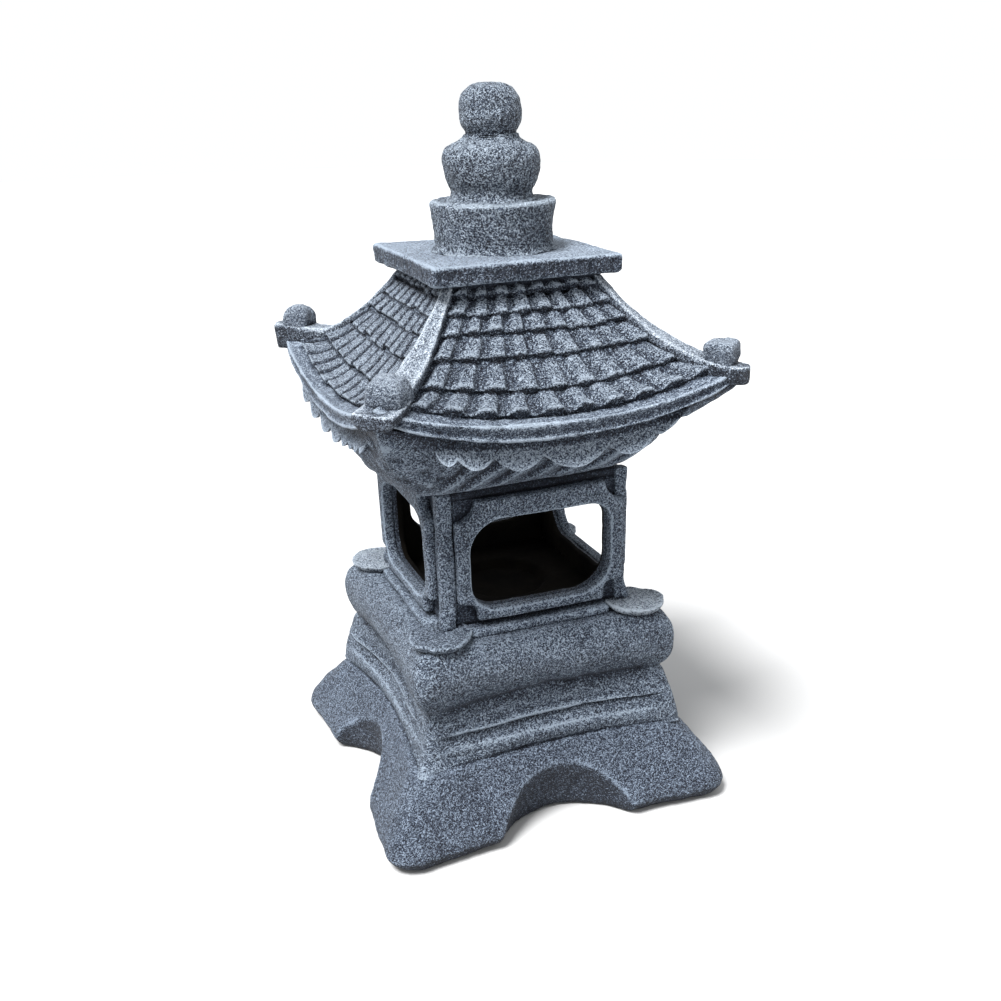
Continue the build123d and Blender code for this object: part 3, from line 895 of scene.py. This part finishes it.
drum = [
    (234.8, 22.4), (235.5, 26.2), (236, 25.2), (237, 24.3), (238.9, 23.9), (246, 24.5),
    (252.6, 25.2), (254.2, 25.7), (255.1, 25.3), (255.4, 24.2), (255.2, 16),
]
FINIAL_WEATHER = ((0.45, 15), (0.42, 6.5), (0.30, 3.0), (0.14, 1.5))
v, q, t = weathered(round_skin(drum, 0.9), 0.95, FINIAL_WEATHER, seed=181)
v[:, 3] -= 0.7 * ramp(v[:, 2], 253.4, 254.6) * ramp(np.hypot(v[:, 0], v[:, 1]), 23.8, 25.0)
v[:, 3] -= 0.45 * (1 - ramp(v[:, 2], 236.0, 238.6))
piece("finial_drum", (v, q, t), "finial", "finial")

bulb = [
    (255, 18.4), (256.2, 16.9), (258.2, 16.2), (260.4, 16.9), (264, 18.7), (268.6, 19.7),
    (272.6, 19.6), (275.8, 17.9), (277.6, 14.6), (279, 11.9), (280.6, 11),
]
skin = weathered(round_skin(smooth_profile(bulb, 7), 0.8), 1.2, FINIAL_WEATHER, seed=187)
piece("finial_bulb", skin, "finial", "finial")

ball = [
    (280.3, 10.4), (281.4, 10.2), (282.6, 11), (285, 12.1), (288.6, 12.5), (292.6, 12.1),
    (296.2, 10.7), (298.8, 8.2), (299.9, 4.8), (300.1, 1.2),
]
skin = weathered(round_skin(smooth_profile(ball, 6), 0.7, steps=()), 1.1, FINIAL_WEATHER, seed=193)
piece("finial_ball", skin, "finial", "finial")


# ---- wear and painted shade
# How solid the neighbourhood of each vertex is: under a half on arrises, over it in creases and under
# overhangs, where it sets painted shade.
# The field has 1 mm cells.

FIELD_LOW = np.array([-86.0, -86.0, -4.0])
FIELD_SIZE = (172, 172, 310)
MOST_CROSSINGS = 24


def filled_field():
    """Cells inside any piece, from the crossings of vertical rays."""
    field = np.zeros(FIELD_SIZE, np.float32)
    up = Vector((0, 0, 1))
    for _, _, _, (v, q, t), _ in pieces:
        v = v[:, :3]
        tree = BVHTree.FromPolygons(v.tolist(), q.tolist() + t.tolist())
        low = np.floor(v.min(0) - FIELD_LOW).astype(int)
        high = np.ceil(v.max(0) - FIELD_LOW).astype(int)
        for i in range(low[0], high[0] + 1):
            for j in range(low[1], high[1] + 1):
                x, y = FIELD_LOW[:2] + (i + 0.5, j + 0.5)
                start = Vector((x, y, v[:, 2].min() - 1.0))
                depth, entered = 0, 0.0
                for _ in range(MOST_CROSSINGS):
                    hit, normal, _, _ = tree.ray_cast(start, up)
                    if hit is None:
                        break
                    if normal.z < 0:
                        if depth == 0:
                            entered = hit.z
                        depth += 1
                    else:
                        depth -= 1
                        if depth == 0:
                            a = int(entered - FIELD_LOW[2] + 0.5)
                            b = int(hit.z - FIELD_LOW[2] + 0.5)
                            field[i, j, a:b] = 1.0
                    start = hit + up * 0.004
    field[:, :, : int(-FIELD_LOW[2])] = 1.0
    return field


def blurred(field, radius):
    """The field averaged twice over boxes of `radius` cells each way."""
    for _ in range(2):
        for axis in range(3):
            pad = [(radius + 1, radius) if k == axis else (0, 0) for k in range(3)]
            total = np.cumsum(np.pad(field, pad, mode="edge"), axis=axis, dtype=np.float32)
            count = field.shape[axis]
            ahead = np.take(total, np.arange(2 * radius + 1, 2 * radius + 1 + count), axis=axis)
            behind = np.take(total, np.arange(0, count), axis=axis)
            field = (ahead - behind) / (2 * radius + 1)
    return field


def sampled(field, points):
    """The field's value at each point, read between cell centres."""
    place = points - FIELD_LOW - 0.5
    base = np.clip(np.floor(place).astype(int), 0, np.array(FIELD_SIZE) - 2)
    part = np.clip(place - base, 0, 1)
    total = np.zeros(len(points))
    for dx, dy, dz, weight in cell_corners(part):
        total += weight * field[base[:, 0] + dx, base[:, 1] + dy, base[:, 2] + dz]
    return total


solid = filled_field()
near_field = blurred(solid, 1)
wide_field = blurred(solid, 4)


# ---- stone


def srgb(red, green, blue):
    """Linear colour of an sRGB value from 0 to 255."""
    out = []
    for channel in (red, green, blue):
        c = channel / 255
        out.append(c / 12.92 if c <= 0.04045 else ((c + 0.055) / 1.055) ** 2.4)
    return tuple(out)


SLATE, NAVY, CHALK = srgb(58, 69, 86), srgb(12, 18, 31), srgb(144, 157, 172)


def stone(key, base, pale, cover, grain=850.0, relief=1.0, tops=0.10, depth=1.0):
    """Dry-brushed stone: a slate body, dark in the pits, darker in creases and recesses with dark wash and
    painted shade, pale on grains and arrises.

    `cover` is how much of it is pale, `tops` how much paler it is where it faces up, from dry-brushing and
    painted top light, and `depth` its contrast."""
    material = bpy.data.materials.new("stone_" + key)
    material.use_nodes = True
    tree = material.node_tree
    tree.nodes.clear()

    def node(kind, **values):
        made = tree.nodes.new(kind)
        for name, value in values.items():
            setattr(made, name, value)
        return made

    def maths(operation, *terms):
        made = node("ShaderNodeMath", operation=operation)
        for socket, value in zip(made.inputs, terms):
            if isinstance(value, (int, float)):
                socket.default_value = value
            else:
                tree.links.new(value, socket)
        return made.outputs[0]

    def weighted(value, weight, middle):
        """How far the value is over its middle, times a weight."""
        return maths("MULTIPLY", maths("SUBTRACT", value, middle), weight)

    def stepped(value, low, high):
        made = node("ShaderNodeMapRange", interpolation_type="SMOOTHSTEP")
        tree.links.new(value, made.inputs["Value"])
        return adjusted(made, {"From Min": low, "From Max": high}).outputs["Result"]

    def textured(scale, detail, roughness, distortion=0.0):
        made = node("ShaderNodeTexNoise")
        tree.links.new(coordinates, made.inputs["Vector"])
        adjusted(made, {"Scale": scale, "Detail": detail, "Roughness": roughness, "Distortion": distortion})
        return made.outputs["Fac"]

    def attribute(name):
        return node("ShaderNodeAttribute", attribute_name=name).outputs["Fac"]

    coordinates = node("ShaderNodeTexCoord").outputs["Object"]
    worn, wash_and_shade = attribute("worn"), attribute("wash_and_shade")
    worms = textured(grain * 1.25, 0.5, 0.4, 0.9)
    off_middle = maths("ABSOLUTE", maths("SUBTRACT", worms, 0.5))
    ridges = maths("MAXIMUM", maths("SUBTRACT", 1.0, maths("MULTIPLY", off_middle, 7.0)), 0.0)
    grains = textured(grain * 1.8, 1.0, 0.6, 0.5)
    specks = textured(grain * 3.3, 0.5, 0.5)
    patch = textured(70.0, 3.0, 0.55)
    broad = textured(22.0, 2.0, 0.5)

    # Faces turned up are made paler: dry-brushing on the tops and painted top light.
    split = node("ShaderNodeSeparateXYZ")
    tree.links.new(node("ShaderNodeNewGeometry").outputs["Normal"], split.inputs[0])
    upward = maths("MAXIMUM", split.outputs[2], 0.0)

    height = maths("ADD", grains, maths("MULTIPLY", ridges, 0.30))
    score = maths("ADD", weighted(height, 2.5 * depth, 0.62), cover)
    # The recess wash and painted shade lower the score, darkening the colour.
    for term in (
        weighted(worn, 0.42, 0.0),
        weighted(stepped(worn, 0.74, 0.96), 0.34, 0.0),
        weighted(wash_and_shade, -0.50, 0.0),
        weighted(upward, tops, 0.0),
        weighted(patch, 0.38, 0.5),
        weighted(broad, 0.2, 0.5),
        weighted(specks, 0.7 * depth, 0.5),
    ):
        score = maths("ADD", score, term)
    brushed = stepped(score, 0.45, 0.95)

    tones = node("ShaderNodeValToRGB")
    stops = (
        (0.04, NAVY),
        (0.24, tuple(0.45 * d + 0.55 * b for d, b in zip(NAVY, base))),
        (0.48, base),
        (0.70, tuple(0.55 * b + 0.45 * p for b, p in zip(base, pale))),
        (0.98, pale),
    )
    for _ in range(len(stops) - 2):
        tones.color_ramp.elements.new(0.5)
    for element, (place, tone) in zip(tones.color_ramp.elements, stops):
        element.position = place
        element.color = (*tone, 1)
    tree.links.new(score, tones.inputs["Fac"])

    bump = adjusted(node("ShaderNodeBump"), {"Strength": 0.85, "Distance": 0.0030 * relief})
    tall = maths("ADD", height, maths("MULTIPLY", specks, 0.30))
    tree.links.new(tall, bump.inputs["Height"])

    shader = adjusted(node("ShaderNodeBsdfPrincipled"), {"Specular IOR Level": 0.32})
    tree.links.new(tones.outputs["Color"], shader.inputs["Base Color"])
    tree.links.new(bump.outputs["Normal"], shader.inputs["Normal"])
    roughness = adjusted(node("ShaderNodeMapRange"), {"To Min": 0.66, "To Max": 0.88})
    tree.links.new(brushed, roughness.inputs["Value"])
    tree.links.new(roughness.outputs["Result"], shader.inputs["Roughness"])
    output = node("ShaderNodeOutputMaterial")
    tree.links.new(shader.outputs[0], output.inputs["Surface"])
    return material


MATERIALS = {
    "foot": stone("foot", srgb(49, 58, 74), srgb(126, 139, 156), 0.45),
    "pedestal": stone("pedestal", SLATE, CHALK, 0.46),
    "pad": stone("pad", SLATE, srgb(172, 183, 195), 0.76),
    "chamber": stone("chamber", SLATE, CHALK, 0.49, relief=0.6),
    "panel": stone("panel", srgb(44, 53, 67), srgb(106, 117, 131), 0.26, relief=0.5),
    "soffit": stone("soffit", SLATE, CHALK, 0.47, relief=0.8),
    "tiles": stone("tiles", SLATE, srgb(158, 170, 184), 0.52, relief=1.1),
    "fascia": stone("fascia", SLATE, srgb(150, 162, 176), 0.52, relief=0.6, depth=0.75),
    "valance": stone("valance", SLATE, srgb(150, 162, 176), 0.65, relief=0.8, depth=0.9),
    "ridge": stone("ridge", srgb(100, 111, 126), srgb(186, 196, 207), 0.50, relief=0.8, depth=0.75),
    "knob": stone("knob", srgb(74, 84, 99), srgb(160, 171, 184), 0.50, tops=0.30, depth=0.6),
    # Both collar pieces sit under an overhang, and their darker colour is painted shade.
    "collar": stone("collar", srgb(36, 44, 58), srgb(86, 97, 111), 0.30, relief=0.7),
    "cap": stone("cap", srgb(54, 64, 80), srgb(144, 156, 170), 0.38, tops=0.46, relief=0.5),
    "finial": stone("finial", SLATE, srgb(156, 168, 181), 0.47, grain=760.0, relief=1.3, tops=0.24),
}


def interior_shade_material():
    """The inside of the chamber: unpainted stone, darkened to near black as painted shade."""
    material = bpy.data.materials.new("painted_interior_shade")
    material.use_nodes = True
    tree = material.node_tree
    shader = adjusted(tree.nodes["Principled BSDF"], {"Roughness": 0.9, "Specular IOR Level": 0.04})
    coordinates = tree.nodes.new("ShaderNodeTexCoord")
    clouds = adjusted(tree.nodes.new("ShaderNodeTexNoise"), {"Scale": 60.0, "Detail": 5.0})
    tree.links.new(coordinates.outputs["Object"], clouds.inputs["Vector"])
    tones = tree.nodes.new("ShaderNodeValToRGB")
    low, high = tones.color_ramp.elements
    low.position, low.color = 0.35, (0.0022, 0.0020, 0.0019, 1)
    high.position, high.color = 0.75, (0.0080, 0.0066, 0.0050, 1)
    tree.links.new(clouds.outputs["Fac"], tones.inputs["Fac"])
    tree.links.new(tones.outputs["Color"], shader.inputs["Base Color"])
    bump = adjusted(tree.nodes.new("ShaderNodeBump"), {"Distance": 0.0006})
    tree.links.new(clouds.outputs["Fac"], bump.inputs["Height"])
    tree.links.new(bump.outputs["Normal"], shader.inputs["Normal"])
    return material


INTERIOR_SHADE = interior_shade_material()


# The space inside the chamber walls, whose faces get the near-black painted shade: half its width, and from
# where to where it goes up.
CHAMBER_HALF, CHAMBER_FLOOR, CHAMBER_TOP = 38.2, 83.0, 149.0
SHARP_ANGLE = math.radians(62)


def built(node, body, slot, skin, material):
    """Turns a skin into a Blender piece with its wear and painted shade, and ties it to its CAD node."""
    name = node + "_stone"
    v, q, t = skin
    mesh = bpy.data.meshes.new(name)
    mesh.vertices.add(len(v))
    dark, pale, v = np.clip(v[:, 3], 0, 1), np.clip(-v[:, 3], 0, 1), v[:, :3]
    mesh.vertices.foreach_set("co", (v * MM).astype(np.float32).ravel())
    loops = np.concatenate([q.ravel(), t.ravel()]).astype(np.int32)
    starts = np.concatenate([np.arange(len(q)) * 4, q.size + np.arange(len(t)) * 3]).astype(np.int32)
    mesh.loops.add(len(loops))
    mesh.loops.foreach_set("vertex_index", loops)
    mesh.polygons.add(len(starts))
    mesh.polygons.foreach_set("loop_start", starts)
    mesh.update(calc_edges=True)
    mesh.shade_smooth()
    mesh.set_sharp_from_angle(angle=SHARP_ANGLE)
    normals = vertex_normals(skin)
    curve = curvature(skin, normals)
    close = sampled(near_field, v)
    wide = sampled(wide_field, v + normals * 1.5)
    worn = np.clip(ramp(curve, 0.03, 0.16) * 0.8 + ramp(0.42 - close, 0.0, 0.25) * 0.3, 0, 1)
    worn = np.clip(worn * (1 - 0.6 * dark) + pale, 0, 1)
    # Concave places, solid neighbourhoods and dark marks are darkened: dark wash in the recesses and painted
    # shade under overhangs and between parts.
    hollows_and_shade = ramp(-curve, 0.03, 0.15) * 0.6 + ramp(close, 0.56, 0.80) * 0.7 + ramp(wide, 0.50, 0.80) * 0.8
    wash_and_shade = np.clip(np.clip(hollows_and_shade, 0, 1) + dark, 0, 1)
    for key, values in (("worn", worn), ("wash_and_shade", wash_and_shade)):
        layer = mesh.attributes.new(key, "FLOAT", "POINT")
        layer.data.foreach_set("value", values.astype(np.float32))
    mesh.materials.append(MATERIALS[material])
    # Faces inside the chamber get the near-black painted interior shade.
    middles = np.concatenate([v[q].mean(1), v[t].mean(1)])
    within = np.abs(middles[:, :2]).max(1) < CHAMBER_HALF
    within &= (middles[:, 2] > CHAMBER_FLOOR) & (middles[:, 2] < CHAMBER_TOP)
    if within.any():
        mesh.materials.append(INTERIOR_SHADE)
        mesh.polygons.foreach_set("material_index", within.astype(np.int32))
    made = linked(name, mesh)
    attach(made, body)
    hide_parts(node)


for made in pieces:
    built(*made)


# ---- floor


def pale_floor():
    """A round floor, which is no part of the lantern."""
    mesh = bpy.data.meshes.new("floor")
    count = 96
    ring = [
        (4 * math.cos(2 * math.pi * k / count), 4 * math.sin(2 * math.pi * k / count), -0.0006)
        for k in range(count)
    ]
    mesh.from_pydata(ring, [], [tuple(range(count))])
    material = bpy.data.materials.new("floor")
    material.use_nodes = True
    grey = {"Base Color": (0.42, 0.42, 0.42, 1), "Roughness": 0.9, "Specular IOR Level": 0.1}
    adjusted(material.node_tree.nodes["Principled BSDF"], grey)
    mesh.materials.append(material)
    linked("floor", mesh)


pale_floor()
